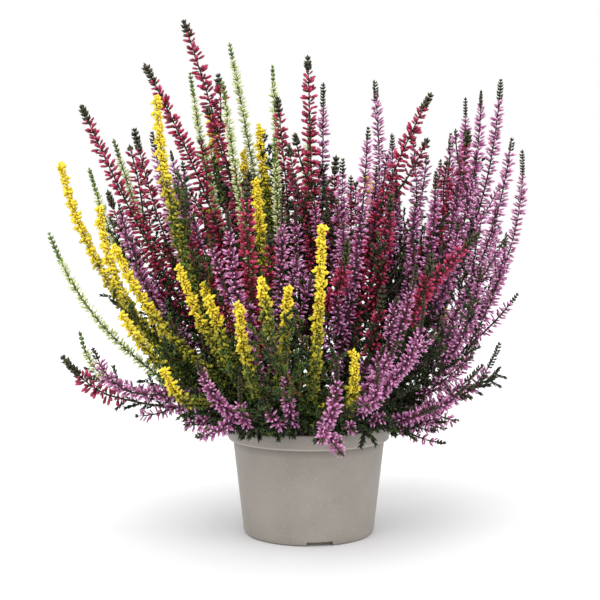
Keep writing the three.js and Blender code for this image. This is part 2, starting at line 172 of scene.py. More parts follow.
# Colours are picked as seen on a screen, from 0 to 255
def seen(red, green, blue):
    def linear(value):
        share = value / 255
        return share / 12.92 if share <= 0.04045 else ((share + 0.055) / 1.055) ** 2.4

    return linear(red), linear(green), linear(blue)


grain = {  # noise scales, in cells to the metre, and detail
    "budPatches": (90.0, 2.0),
    "leafPatches": (140.0, 2.0),
    "goldenPatches": (160.0, 2.0),
    "petal": (1800.0, 1.0),
    "leaf": (2400.0, 1.0),
    "bark": (700.0, 4.0),
    "mottle": (38.0, 4.0),
    "speckle": (1100.0, 2.0),
    "peat": (420.0, 6.0),
}
looks = {  # stops are places on a colour ramp, and a bump has its strength and distance
    "bud": {"rough": 0.45, "stops": (0.05, 0.45, 0.95), "bump": (0.25, 0.0003)},
    "leaf": {"rough": 0.5, "stops": (0.0, 0.45, 1.0), "bump": (0.2, 0.0003)},
    "golden": {"rough": 0.5, "stops": (0.0, 0.4, 1.0), "bump": (0.2, 0.0003)},
    "bark": {"rough": 0.8, "stops": (0.3, 0.5, 0.75), "bump": (0.5, 0.0005)},
    "pot": {"rough": 0.5, "stops": (0.3, 0.5, 0.7), "bump": (0.15, 0.0004)},
    "peat": {"rough": 0.95, "stops": (0.3, 0.55, 0.8), "bump": (0.9, 0.002)},
}
shares = {  # of the tint, the way along and the patches in a colour, and what is taken off
    "bud": {"tint": 0.7, "patches": 0.5, "less": 0.25},
    "leaf": {"along": 0.45, "tint": 0.5, "patches": 0.5, "less": 0.25},
    "golden": {"along": 0.7, "patches": 0.5, "less": 0.1},
    "yellow": {"tint": 1.6, "less": 0.35, "stops": (0.0, 0.5, 1.0)},
}
budColours = {  # foot, middle and tip of a bud, and the colour of the darker ones; the dark foot is partly the bud's own colour and partly painted shade, the light tip partly a painted highlight
    "pink": [seen(62, 20, 44), seen(172, 84, 142), seen(250, 188, 230), seen(128, 42, 98)],
    "crimson": [seen(36, 2, 10), seen(146, 9, 45), seen(216, 62, 116), seen(92, 2, 26)],
    "white": [seen(120, 146, 54), seen(206, 216, 140), seen(248, 248, 220), seen(170, 190, 100)],
}


def budFinish(name, colours):
    look = looks["bud"]
    share = shares["bud"]
    finish = Finish(name, look["rough"])
    along = finish.shade("X")
    tint = finish.shade("Y")
    # Darker at the foot and lighter at the tip: partly the bud's own colour, partly painted shade at
    # the foot and a painted highlight at the tip
    petal = finish.ramp(along, look["stops"], colours[:3])
    patches = finish.noise("budPatches")
    darkness = (tint * share["tint"] + patches * share["patches"] - share["less"]).clamped()
    finish.colour(finish.mix(darkness, petal, colours[3]))
    finish.bump(finish.noise("petal"), *look["bump"])
    return finish.material


leafColours = {  # from dark to light
    "green": [seen(8, 14, 4), seen(32, 47, 15), seen(86, 108, 38)],
    "olive": [seen(18, 16, 8), seen(48, 46, 24), seen(92, 90, 48)],
    "fresh": [seen(42, 64, 18), seen(92, 118, 40), seen(162, 182, 82)],
    "lime": [seen(10, 20, 4), seen(44, 68, 16), seen(114, 138, 40)],
    "gold": [seen(176, 160, 12), seen(240, 212, 26), seen(255, 238, 84)],
    "pale": [seen(150, 170, 96), seen(208, 216, 160), seen(244, 246, 220)],
}


def leafFinish(name, colours):
    look = looks["leaf"]
    share = shares["leaf"]
    finish = Finish(name, look["rough"])
    along = finish.shade("X")
    tint = finish.shade("Y")
    patches = finish.noise("leafPatches")
    light = along * share["along"] + tint * share["tint"] + patches * share["patches"]
    light = (light - share["less"]).clamped()
    finish.colour(finish.ramp(light, look["stops"], colours))
    finish.bump(finish.noise("leaf"), *look["bump"])
    return finish.material


# The golden shoots go from leaf green at a low tint to full yellow at a high one
def goldenFinish():
    look = looks["golden"]
    share = shares["golden"]
    yellow = shares["yellow"]
    finish = Finish("golden leaves", look["rough"])
    along = finish.shade("X")
    tint = finish.shade("Y")
    patches = finish.noise("goldenPatches")
    light = (along * share["along"] + patches * share["patches"] - share["less"]).clamped()
    gold = finish.ramp(light, look["stops"], leafColours["gold"])
    leaf = finish.ramp(light, yellow["stops"], leafColours["lime"])
    yellowness = (tint * yellow["tint"] - yellow["less"]).clamped()
    finish.colour(finish.mix(yellowness, leaf, gold))
    finish.bump(finish.noise("leaf"), *look["bump"])
    return finish.material


barkColours = {
    "brown": [seen(26, 18, 12), seen(54, 40, 28), seen(92, 70, 48)],
    "green": [seen(44, 48, 22), seen(88, 94, 48), seen(132, 136, 76)],
    "amber": [seen(56, 42, 12), seen(104, 78, 20), seen(156, 120, 34)],
}


def barkFinish(name, colours):
    look = looks["bark"]
    finish = Finish(name, look["rough"])
    furrows = finish.noise("bark")
    finish.colour(finish.ramp(furrows, look["stops"], colours))
    finish.bump(furrows, *look["bump"])
    return finish.material


# The last two colours are painted shade under the lip and a painted highlight on the lip's edge
potColours = {
    "mottled": [seen(139, 132, 124), seen(145, 138, 130), seen(150, 143, 135)],
    "speck": seen(166, 160, 152),
    "shaded": seen(110, 104, 97),
    "highlight": seen(176, 169, 160),
}
specks = {"stops": (0.0, 0.60, 0.68), "shares": [seen(0, 0, 0), seen(0, 0, 0), seen(220, 220, 220)]}
# Where the painted shade under the lip and the painted highlight on its edge lie, and how they fade
lip = {
    "height": 0.076,
    "shadowDepth": 0.007,
    "shadowFade": 150.0,
    "shadowEnd": 0.0002,
    "endFade": 5000.0,
    "shadowShare": 0.85,
    "highlightHeight": 0.0008,
    "highlightFade": 1500000.0,
    "highlightShare": 0.8,
}


def potFinish():
    look = looks["pot"]
    finish = Finish("taupe plastic", look["rough"])
    mottle = finish.noise("mottle")
    speckle = finish.noise("speckle")
    body = finish.ramp(mottle, look["stops"], potColours["mottled"])
    speckShare = finish.ramp(speckle, specks["stops"], specks["shares"])
    body = finish.mix(speckShare, body, potColours["speck"])
    height = finish.node("ShaderNodeSeparateXYZ", inputs={"Vector": finish.place()}, output="Z")
    # Painted shade falls below the lip, and a painted highlight runs along the lip's edge
    below = ((height - (lip["height"] - lip["shadowDepth"])) * lip["shadowFade"]).clamped()
    above = (((lip["height"] - lip["shadowEnd"]) - height) * lip["endFade"]).clamped()
    body = finish.mix(below * above * lip["shadowShare"], body, potColours["shaded"])
    offset = height - (lip["height"] + lip["highlightHeight"])
    highlight = (1.0 - offset * offset * lip["highlightFade"]).clamped()
    finish.colour(finish.mix(highlight * lip["highlightShare"], body, potColours["highlight"]))
    finish.bump(speckle, *look["bump"])
    return finish.material


peatColours = [seen(18, 12, 8), seen(52, 36, 24), seen(92, 68, 46)]


def soilFinish():
    look = looks["peat"]
    finish = Finish("peat", look["rough"])
    lumps = finish.noise("peat")
    finish.colour(finish.ramp(lumps, look["stops"], peatColours))
    finish.bump(lumps, *look["bump"])
    return finish.material


bark = barkFinish("brown bark", barkColours["brown"])
greenBark = barkFinish("green bark", barkColours["green"])
amberBark = barkFinish("amber bark", barkColours["amber"])
greenLeaf = leafFinish("dark green leaves", leafColours["green"])
oliveTip = leafFinish("olive tip leaves", leafColours["olive"])
freshTip = leafFinish("fresh green leaves", leafColours["fresh"])
limeLeaf = leafFinish("lime leaves", leafColours["lime"])
goldenLeaf = goldenFinish()
petals = {kind: budFinish(f"{kind} buds", colours) for kind, colours in budColours.items()}
paleNeedle = leafFinish("pale needles", leafColours["pale"])
sprayFinishes = {  # bark, leaves, tip leaves, buds or knobs, needles
    "pink": [bark, greenLeaf, oliveTip, petals["pink"]],
    "crimson": [bark, greenLeaf, oliveTip, petals["crimson"]],
    "yellow": [amberBark, limeLeaf, limeLeaf, goldenLeaf],
    "white": [greenBark, greenLeaf, freshTip, petals["white"], paleNeedle],
}
leafSlot, tipSlot, budSlot, needleSlot = range(1, 5)  # a grown tube keeps slot 0, its bark
report("finishes mixed")


# A template is a small mesh that is copied many times into a larger one
class Template:
    def __init__(self, form):
        self.mesh = bpy.data.meshes.new("template")
        form.to_mesh(self.mesh)
        form.free()
        self.places = [0.0] * (3 * len(self.mesh.vertices))
        self.mesh.vertices.foreach_get("co", self.places)
        self.reach = max(self.places[2::3])

    def copyInto(self, form, matrix):
        self.mesh.transform(matrix)
        form.from_mesh(self.mesh)
        self.mesh.vertices.foreach_set("co", self.places)


def newForm():
    form = bmesh.new()
    form.loops.layers.uv.new("shade")
    return form


# Writes a face's finish, and how far along the shape each corner is, into the form
def shadeForm(form, length, tint, slot):
    layer = form.loops.layers.uv["shade"]
    for face in form.faces:
        face.material_index = slot
        face.smooth = True
        for loop in face.loops:
            loop[layer].uv = (loop.vert.co.z / length, tint)


spindle = {
    "waistFrom": 0.05,
    "waistTo": 0.4,
    "waistWidth": 0.75,
    "budRings": 3,
    "leafSides": 3,
    "leafRings": 2,
}


# A spindle with its foot at the origin, along +Z, drawn in at its waist
def makeSpindle(length, width, sides, rings, tint, slot):
    form = newForm()
    bmesh.ops.create_uvsphere(form, u_segments=sides, v_segments=rings, radius=0.5)
    bmesh.ops.scale(form, vec=(width, width, length), verts=form.verts)
    bmesh.ops.translate(form, vec=(0, 0, length / 2), verts=form.verts)
    lowest = spindle["waistFrom"] * length
    highest = spindle["waistTo"] * length
    lower = [vert for vert in form.verts if lowest < vert.co.z < highest]
    bmesh.ops.scale(form, vec=(spindle["waistWidth"], spindle["waistWidth"], 1), verts=lower)
    shadeForm(form, length, tint, slot)
    return Template(form)


tints = (0.1, 0.35, 0.6, 0.9)
budSizes = {  # length, width and number of sides
    "pink": (0.0063, 0.0020, 5),
    "pinkSide": (0.0060, 0.0020, 4),
    "crimson": (0.0076, 0.0029, 5),
    "crimsonSide": (0.0070, 0.0028, 4),
    "white": (0.0050, 0.0019, 4),
}
leafSizes = {  # length and width
    "needle": (0.0060, 0.0005),
    "bract": (0.0028, 0.0015),
    "tip": (0.0034, 0.0019),
}


def makeBuds(size):
    return [makeSpindle(*size, spindle["budRings"], tint, budSlot) for tint in tints]


# A scale leaf or a thin stalk is a three-sided point, wide at its foot
def addPoint(form, length, width, tint, slot):
    bmesh.ops.create_cone(
        form,
        cap_ends=True,
        segments=spindle["leafSides"],
        radius1=width / 2,
        radius2=0,
        depth=length,
    )
    bmesh.ops.translate(form, vec=(0, 0, length / 2), verts=form.verts)
    shadeForm(form, length, tint, slot)


def makeLeaf(length, width, tint, slot):
    form = newForm()
    addPoint(form, length, width, tint, slot)
    return Template(form)


def makeLeaves(length, width, slot):
    if slot in (budSlot, tipSlot):
        shape = (length, width, spindle["leafSides"], spindle["leafRings"])
        return [makeSpindle(*shape, tint, slot) for tint in tints]
    return [makeLeaf(length, width, tint, slot) for tint in tints]


# A leafy sprig: a thin stem with pairs of scale leaves, each pair across the one below
sprigSizes = {
    "long": {"length": 0.0140, "leaf": 0.0036, "width": 0.0022, "step": 0.0020, "lean": 40},
    "short": {"length": 0.0090, "leaf": 0.0035, "width": 0.0022, "step": 0.0020, "lean": 42},
    "knob": {"length": 0.0040, "leaf": 0.0033, "width": 0.0026, "step": 0.0020, "lean": 42},
}
sprigHabit = {
    "stalkWidth": 0.0007,
    "footLean": 1.15,
    "leanLoss": 0.5,
    "turnScatter": 18,
    "leanScatter": 8,
    "firstLevel": 0.4,
    "sizes": (0.85, 1.15),
}


def makeSprig(size, tint, slot, seed):
    chance = random.Random(seed)
    length = size["length"]
    leaves = makeLeaves(size["leaf"], size["width"], slot)
    form = newForm()
    if slot == leafSlot:
        addPoint(form, length, sprigHabit["stalkWidth"], tint, slot)
    levels = round(length / size["step"])
    nearest = tints.index(tint)
    for level in range(levels):
        lean = size["lean"] * (sprigHabit["footLean"] - sprigHabit["leanLoss"] * level / levels)
        for side in range(2):
            pick = min(len(tints) - 1, max(0, nearest + chance.choice((-1, 0, 0, 1))))
            turn = 90 * level + 180 * side + scatter(chance, sprigHabit["turnScatter"])
            tilt = lean + scatter(chance, sprigHabit["leanScatter"])
            place = Matrix.Translation((0, 0, (level + sprigHabit["firstLevel"]) * size["step"]))
            place = place @ Matrix.Rotation(math.radians(turn), 4, "Z")
            place = place @ Matrix.Rotation(math.radians(tilt), 4, "Y")
            grown = chance.uniform(*sprigHabit["sizes"])
            leaves[pick].copyInto(form, place @ Matrix.Scale(grown, 4))
    crown = Matrix.Translation((0, 0, length - size["leaf"] / 2))
    leaves[nearest].copyInto(form, crown)
    return Template(form)


def makeSprigs(name, slot):
    return [makeSprig(sprigSizes[name], tint, slot, i) for i, tint in enumerate(tints)]


longSprigs = makeSprigs("long", leafSlot)
shortSprigs = makeSprigs("short", leafSlot)
knobs = makeSprigs("knob", budSlot)
buds = {kind: makeBuds(size) for kind, size in budSizes.items()}
needles = makeLeaves(*leafSizes["needle"], needleSlot)
bracts = makeLeaves(*leafSizes["bract"], leafSlot)
tipLeaves = makeLeaves(*leafSizes["tip"], tipSlot)
report("templates made")


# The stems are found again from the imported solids: a walk over each solid's surface from its
# foot sorts it into short lengths, and the middles of those lengths are the stem's line
tracing = {
    "weld": 0.00002,
    "longestEdge": 0.0035,
    "splitRounds": 4,
    "pieceLength": 0.006,
    "clothedRadius": 0.0029,
    "widestShare": 0.96,
    "bareGap": 4,
    "fewestPieces": 3,
    "smoothing": 3,
    "lowTip": 0.1105,
}


def splitMesh(node):
    mesh = bmesh.new()
    mesh.from_mesh(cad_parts[node].data)
    bmesh.ops.remove_doubles(mesh, verts=mesh.verts, dist=tracing["weld"])
    for _ in range(tracing["splitRounds"]):
        longEdges = [edge for edge in mesh.edges if edge.calc_length() > tracing["longestEdge"]]
        bmesh.ops.subdivide_edges(mesh, edges=longEdges, cuts=1)
        bmesh.ops.triangulate(mesh, faces=mesh.faces)
    mesh.verts.index_update()
    return mesh


def walkFromFoot(mesh):
    neighbours = [[] for _ in mesh.verts]
    for edge in mesh.edges:
        first, second = edge.verts
        length = edge.calc_length()
        neighbours[first.index].append((second.index, length))
        neighbours[second.index].append((first.index, length))
    lowest = min(vert.co.z for vert in mesh.verts)
    walked = [math.inf] * len(neighbours)
    queue = []
    for vert in mesh.verts:
        if vert.co.z < lowest + tracing["weld"]:
            walked[vert.index] = 0.0
            queue.append((0.0, vert.index))
    while queue:
        here, index = heapq.heappop(queue)
        if here > walked[index]:
            continue
        for other, length in neighbours[index]:
            if here + length < walked[other]:
                walked[other] = here + length
                heapq.heappush(queue, (here + length, other))
    return walked, neighbours


# Sorts the surface into lengths, and links each one to the length below it
def sortLengths(walked, neighbours):
    level = [int(distance / tracing["pieceLength"]) for distance in walked]
    owner = [-1] * len(level)
    groups = []
    for start in range(len(level)):
        if owner[start] >= 0:
            continue
        members = [start]
        owner[start] = len(groups)
        for index in members:
            for other, _ in neighbours[index]:
                if owner[other] < 0 and level[other] == level[index]:
                    owner[other] = len(groups)
                    members.append(other)
        groups.append(members)
    below = {}
    for index, near in enumerate(neighbours):
        for other, _ in near:
            if level[other] < level[index]:
                found = below.setdefault(owner[index], {})
                found[owner[other]] = found.get(owner[other], 0) + 1
    lower = {group: max(found, key=found.get) for group, found in below.items()}
    return groups, lower


class Stem:
    def __init__(self, points, widths, habit):
        self.habit = habit
        for _ in range(tracing["smoothing"]):
            inner = [(a + 2 * b + c) / 4 for a, b, c in zip(points, points[1:], points[2:])]
            points = [points[0], *inner, points[-1]]
        self.points = points
        self.marks = [0.0]
        for first, second in zip(points, points[1:]):
            self.marks.append(self.marks[-1] + (second - first).length)
        self.length = self.marks[-1]
        thick = [i for i, width in enumerate(widths) if width > tracing["clothedRadius"]]
        lowest = max(thick, default=0)
        for i in reversed(thick):
            if lowest - i <= tracing["bareGap"]:
                lowest = i
        self.clothedFrom = self.marks[lowest]
        self.isLeafy = bool(widths) and points[-1].z < tracing["lowTip"]

    def at(self, distance):
        i = 0
        while i < len(self.marks) - 2 and self.marks[i + 1] < distance:
            i += 1
        along = self.points[i + 1] - self.points[i]
        share = (distance - self.marks[i]) / max(self.marks[i + 1] - self.marks[i], 1e-9)
        return self.points[i] + along * share, along.normalized()


def widthOf(places, centre, along):
    distances = sorted((place - centre).cross(along).length for place in places)
    return distances[int(tracing["widestShare"] * (len(distances) - 1))]


def traceStems(node):
    mesh = splitMesh(node)
    places = [vert.co.copy() for vert in mesh.verts]
    walked, neighbours = walkFromFoot(mesh)
    mesh.free()
    groups, lower = sortLengths(walked, neighbours)
    centres = [sum((places[i] for i in group), Vector()) / len(group) for group in groups]
    furthest = [max(walked[i] for i in group) for group in groups]
    ends = set(range(len(groups))) - set(lower.values())
    taken = set()
    stems = []
    for end in sorted(ends, key=lambda group: -furthest[group]):
        route = [end]
        while route[-1] in lower and route[-1] not in taken:
            route.append(lower[route[-1]])
        if len(route) < tracing["fewestPieces"]:
            continue
        taken.update(route)
        route.reverse()
        widths = []
        for i, group in enumerate(route):
            after = centres[route[min(i + 1, len(route) - 1)]]
            before = centres[route[max(i - 1, 0)]]
            along = (after - before).normalized()
            widths.append(widthOf([places[j] for j in groups[group]], centres[group], along))
        tip = places[max(groups[end], key=lambda i: walked[i])]
        points = [centres[group] for group in route[:-1]] + [tip]
        stems.append(Stem(points, widths, "branch" if stems else "trunk"))
    return stems


nodeNames = sorted(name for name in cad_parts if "spray" in name)
traced = {name: traceStems(name) for name in nodeNames}
report(f"{sum(len(stems) for stems in traced.values())} stems traced in {len(traced)} sprays")


# How the stems are covered, for each kind of spray. Leans are in degrees from the stem.
spikes = {
    "pink": {"step": 0.0040, "count": 7, "lean": (98, 52), "tip": (0.009, 0.026), "overlap": 0.024},
    "pinkSide": {"step": 0.0046, "count": 6, "lean": (95, 50), "tip": (0.003, 0.010)},
    "crimson": {"step": 0.0046, "count": 6, "lean": (92, 58), "tip": (0.012, 0.020), "overlap": 0.02},
    "crimsonSide": {"step": 0.0052, "count": 5, "lean": (90, 55), "tip": (0.003, 0.010)},
    "white": {"step": 0.0027, "count": 5, "lean": (76, 50), "tip": (0.014, 0.024), "overlap": 0.01},
}
budding = {
    "shortest": 0.02,
    "lowest": 0.004,
    "leanCurve": 1.5,
    "footSize": 0.6,
    "footGrowth": 4,
    "topSize": 0.72,
    "topGrowth": 2.5,
    "spread": 0.45,
    "turnScatter": 0.35,
    "leanScatter": 18,
    "standOff": 0.0006,
    "sizes": (0.78, 1.12),
    "bractLean": 40,
    "stepShares": (0.82, 1.18),
    "needleCount": 5,
    "needleLean": (45, 80),
    "needleSizes": (0.8, 1.1),
}
tipLooks = {
    "pink": {"leaf": 1.10, "lean": 46, "knobLength": 0.0036, "count": 3},
    "crimson": {"leaf": 1.50, "lean": 46, "knobLength": 0.0048, "count": 5},
    "white": {"leaf": 1.05, "lean": 40, "knobLength": 0.0060, "count": 4},
}
tipHabit = {
    "end": 0.0015,
    "step": 0.0012,
    "size": 0.72,
    "swell": 0.42,
    "taper": 0.006,
    "endSize": 0.6,
    "endLean": 0.5,
    "turnScatter": 0.25,
    "leanScatter": 8,
    "crownSize": 0.8,
    "crownDepth": 0.0024,
}
# Side shoots leave a stem and bend back along it
shootHabit = {
    "segments": 8,
    "bend": 0.8,
    "uprightShare": 0.25,
    "leanScatter": 8,
    "everyShares": (0.7, 1.3),
    "aboveRim": 0.002,
    "flowersAboveRim": 0.03,
    "belowTip": 0.02,
}
sideShoots = {
    "pink": {"every": 0.030, "length": (0.044, 0.078), "lean": 30, "range": (0.50, 0.62)},
    "crimson": {"every": 0.040, "length": (0.044, 0.074), "lean": 30, "range": (0.45, 0.50)},
    "leafy": {"every": 0.042, "length": (0.026, 0.050), "lean": 36, "range": (0.02, 0.20)},
    "golden": {"every": 0.024, "length": (0.020, 0.042), "lean": 38, "range": (0.30, 0.45)},
    "drooping": {"every": 0.011, "length": (0.030, 0.052), "lean": 40, "range": (0.10, 0.55)},
}
drooping = {
    "tipHeight": 0.17,
    "tipReach": 0.12,
    "sag": (0.5, 1.7),
    "rise": 0.3,
    "everyShares": (0.8, 1.2),
    "nearest": 0.050,
    "middle": Vector((-0.014, 0, 0)),
    "furthest": 0.138,
    "lowest": 0.074,
    "clearance": 0.007,
}
golden = {
    "step": 0.0022,
    "count": 3,
    "lean": (36, 62),
    "overlap": 0.008,
    "lumpLength": 0.0095,
    "lumpSwell": 0.24,
    "end": 0.003,
    "footSize": 1.2,
    "sizeLoss": 0.4,
    "endSize": 0.55,
    "taper": 0.014,
    "turnScatter": 0.4,
    "footLean": 1.25,
    "leanLoss": 0.4,
    "yellowing": 6,
    "greenShare": 1.6,
    "mottle": (-0.6, 0.8),
    "sizes": (0.8, 1.2),
    "crownSize": 0.9,
}
cover = {
    "tubeSides": 4,
    "tubeStep": 0.008,
    "fewestSteps": 3,
    "footRadius": 0.0016,
    "twigRadius": 0.0011,
    "tipRadius": 0.0004,
    "lowSlope": 0.45,
    "lowOverlap": 2.4,
    "sprigStep": 0.0046,
    "whiteSprigStep": 0.0070,
    "sprigLean": (32, 62),
    "leafyStep": 0.0028,
    "shootStep": 0.0038,
    "leafyLean": (26, 56),
    "leafTurn": 137.5,
    "lift": 1.2,
    "sizes": (0.8, 1.15),
    "stepShares": (0.7, 1.3),
    "bluntness": 0.8,
    "fringeStep": 0.0026,
    "fringeRadii": (0.050, 0.084),
    "fringeTop": 0.118,
    "fringeDroop": (0.1, 1.1),
    "fringeTurn": 50,
    "fringeSizes": (0.8, 1.1),
    "fringeTests": (0, 0.3, 0.6, 1),
    "fringeRoll": 900,
}
potShape = {
    "height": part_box("pot")[1].z,
    "rimRadius": 0.065,
    "collarHeight": 0.012,
    "collarBottomRadius": 0.0643,
    "bodyTopRadius": 0.0606,
    "footRadius": 0.0519,
    "wall": 0.0018,
    "footRing": 0.005,
    "footRounding": 0.003,
    "plateHeight": 0.0036,
    "plateThickness": 0.002,
    "notchCount": 3,
    "notchWidth": 0.0205,
    "notchDepth": 0.014,
    "notchBearing": -80.7,
    "drainCount": 6,
    "drainRadius": 0.0035,
    "drainCircle": 0.036,
    "drainSides": 24,
    "firstDrainBearing": 30,
    "drillDepth": 0.02,
    "spinSteps": 144,
    "chamfer": 0.0009,
    "bevels": {8: 0.0005, 9: 0.0008, 10: 0.0006},  # by the corner's place in the outline
    "bevelSegments": 3,
    "sharpAngle": 35,
    "weld": 0.00001,
    "tolerance": 0.00005,
    "clearance": 0.0005,
}
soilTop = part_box("soil")[1].z


def wallRadius(height):  # the outside of the pot's body
    share = height / (potShape["height"] - potShape["collarHeight"])
    return blend(potShape["footRadius"], potShape["bodyTopRadius"], share)


def isInPot(point):
    gap = potShape["clearance"]
    distance = math.hypot(point.x, point.y)
    if point.z > potShape["height"] + gap or distance > potShape["rimRadius"] + gap:
        return False
    return distance > wallRadius(point.z) - potShape["wall"] - gap or point.z < soilTop


def edgesWithin(verts):
    inside = set(verts)
    near = dict.fromkeys(edge for vert in verts for edge in vert.link_edges)
    return [edge for edge in near if inside.issuperset(edge.verts)]


# Extruding leaves the faces in another order each run, so they are sorted by their corners
def sortFaces(form):
    form.verts.index_update()
    inOrder = sorted(form.faces, key=lambda face: sorted(vert.index for vert in face.verts))
    places = {face: place for place, face in enumerate(inOrder)}
    form.faces.sort(key=places.get)


def growTube(form, stem):
    steps = max(cover["fewestSteps"], round(stem.length / cover["tubeStep"]))
    places = [stem.at(stem.length * i / steps) for i in range(steps + 1)]
    footRadius = cover["footRadius"] if stem.habit == "trunk" else cover["twigRadius"]
    frameBefore = None
    for i, (point, along) in enumerate(places):
        radius = blend(footRadius, cover["tipRadius"], (i / steps) ** cover["bluntness"])
        turn = along.to_track_quat("Z", "Y").to_matrix().to_4x4()
        frameNow = Matrix.Translation(point) @ turn @ Matrix.Scale(radius, 4)
        if frameBefore is None:
            made = bmesh.ops.create_circle(
                form, cap_ends=True, segments=cover["tubeSides"], radius=1.0, matrix=frameNow
            )
            ring = made["verts"]
        else:
            grown = bmesh.ops.extrude_edge_only(form, edges=edgesWithin(ring))["geom"]
            ring = [item for item in grown if isinstance(item, bmesh.types.BMVert)]
            bmesh.ops.transform(form, matrix=frameNow @ frameBefore.inverted(), verts=ring)
        frameBefore = frameNow
    bmesh.ops.pointmerge(form, verts=ring, merge_co=places[-1][0])


def leaningFrom(along, angle, lean):
    out = Quaternion(along, angle) @ along.orthogonal().normalized()
    return along * math.cos(lean) + out * math.sin(lean)


def setAt(form, template, foot, direction, size, roll):
    turn = direction.to_track_quat("Z", "Y").to_matrix().to_4x4()
    place = Matrix.Translation(foot) @ turn @ Matrix.Rotation(roll, 4, "Z")
    template.copyInto(form, place @ Matrix.Scale(size, 4))


def leafyTip(form, stem, start, kind, chance):
    look = tipLooks[kind]
    distance = start
    first = chance.uniform(0, math.tau)
    while distance < stem.length - tipHabit["end"]:
        point, along = stem.at(distance)
        turned = math.tau * distance / look["knobLength"] + first
        wave = tipHabit["size"] + tipHabit["swell"] * math.sin(turned)
        near = min(1, (stem.length - distance) / tipHabit["taper"])
        size = look["leaf"] * wave * blend(tipHabit["endSize"], 1, near)
        first += math.pi / look["count"]
        for i in range(look["count"]):
            angle = first + math.tau * i / look["count"] + scatter(chance, tipHabit["turnScatter"])
            lean = look["lean"] * blend(tipHabit["endLean"], 1, near)
            lean = math.radians(lean + scatter(chance, tipHabit["leanScatter"]))
            direction = leaningFrom(along, angle, lean)
            setAt(form, chance.choice(tipLeaves), point, direction, size, angle)
        distance += tipHabit["step"]
    point, along = stem.at(stem.length)
    foot = point - along * tipHabit["crownDepth"]
    setAt(form, tipLeaves[1], foot, along, look["leaf"] * tipHabit["crownSize"], 0)


def flowersFrom(stem, look):
    overlap = look.get("overlap", 0.0)
    if stem.at(stem.clothedFrom)[1].z < cover["lowSlope"]:
        overlap *= cover["lowOverlap"]
    return max(budding["lowest"], stem.clothedFrom - overlap)


def flowerSpike(form, stem, kind, chance):
    style = f"{kind}Side" if stem.habit == kind else kind
    look = spikes[style]
    top = stem.length - chance.uniform(*look["tip"])
    bottom = min(flowersFrom(stem, look), top - budding["shortest"])
    bractLean = math.radians(budding["bractLean"])
    distance = bottom
    while distance < top:
        rise = (distance - bottom) / (top - bottom)
        lean = blend(*look["lean"], rise ** budding["leanCurve"])
        lowSize = budding["footSize"] + budding["footGrowth"] * rise
        size = min(1.0, lowSize, budding["topSize"] + budding["topGrowth"] * (1 - rise))
        first = chance.uniform(0, math.tau)
        for i in range(look["count"]):
            spread = scatter(chance, budding["spread"]) * look["step"]
            point, along = stem.at(distance + spread)
            angle = first + math.tau * i / look["count"] + scatter(chance, budding["turnScatter"])
            tilt = math.radians(lean + scatter(chance, budding["leanScatter"]))
            direction = leaningFrom(along, angle, tilt)
            foot = point + direction * budding["standOff"]
            grown = size * chance.uniform(*budding["sizes"])
            setAt(form, chance.choice(buds[style]), foot, direction, grown, angle)
        for i in range(2):
            direction = leaningFrom(along, first + math.pi * i, bractLean)
            setAt(form, chance.choice(bracts), point, direction, 1.0, first)
        if kind == "white":
            paleNeedles(form, point, along, size, chance)
        distance += look["step"] * chance.uniform(*budding["stepShares"])
    leafyTip(form, stem, top, kind, chance)


def paleNeedles(form, point, along, size, chance):
    for _ in range(budding["needleCount"]):
        angle = chance.uniform(0, math.tau)
        lean = math.radians(chance.uniform(*budding["needleLean"]))
        direction = leaningFrom(along, angle, lean)
        grown = size * chance.uniform(*budding["needleSizes"])
        setAt(form, chance.choice(needles), point, direction, grown, angle)


def sideStems(stem, habit, chance):
    look = sideShoots[habit]
    made = []
    lowest, highest = look["range"]
    distance = lowest * stem.clothedFrom + look["every"] * chance.random()
    highest = stem.clothedFrom + highest * (stem.length - stem.clothedFrom)
    aboveRim = shootHabit["flowersAboveRim"] if habit in spikes else shootHabit["aboveRim"]
    lowestTip = potShape["height"] + aboveRim
    while distance < highest:
        point, along = stem.at(distance)
        length = chance.uniform(*look["length"])
        lean = math.radians(look["lean"] + scatter(chance, shootHabit["leanScatter"]))
        choices = [leaningFrom(along, chance.uniform(0, math.tau), lean) for _ in range(2)]
        out = min(choices, key=lambda way: way.x * point.x + way.y * point.y)
        last = along + up * shootHabit["uprightShare"]
        points = bentLine(point, out, last, shootHabit["bend"], length)
        isLow = min(points[len(points) // 2].z, points[-1].z) < lowestTip
        isUnderTip = points[-1].z < stem.points[-1].z - shootHabit["belowTip"]
        if not isLow and isInside(points[-1]) and isUnderTip:
            made.append(Stem(points, [], habit))
        distance += look["every"] * chance.uniform(*shootHabit["everyShares"])
    return made


# A line that sets off one way and bends towards another
def bentLine(start, first, last, bend, length):
    segments = shootHabit["segments"]
    points = [start]
    for i in range(segments):
        direction = first.lerp(last, bend * i / segments).normalized()
        points.append(points[-1] + direction * length / segments)
    return points


def isInside(point):
    return all(cadBox[0][i] < point[i] < cadBox[1][i] for i in range(3))


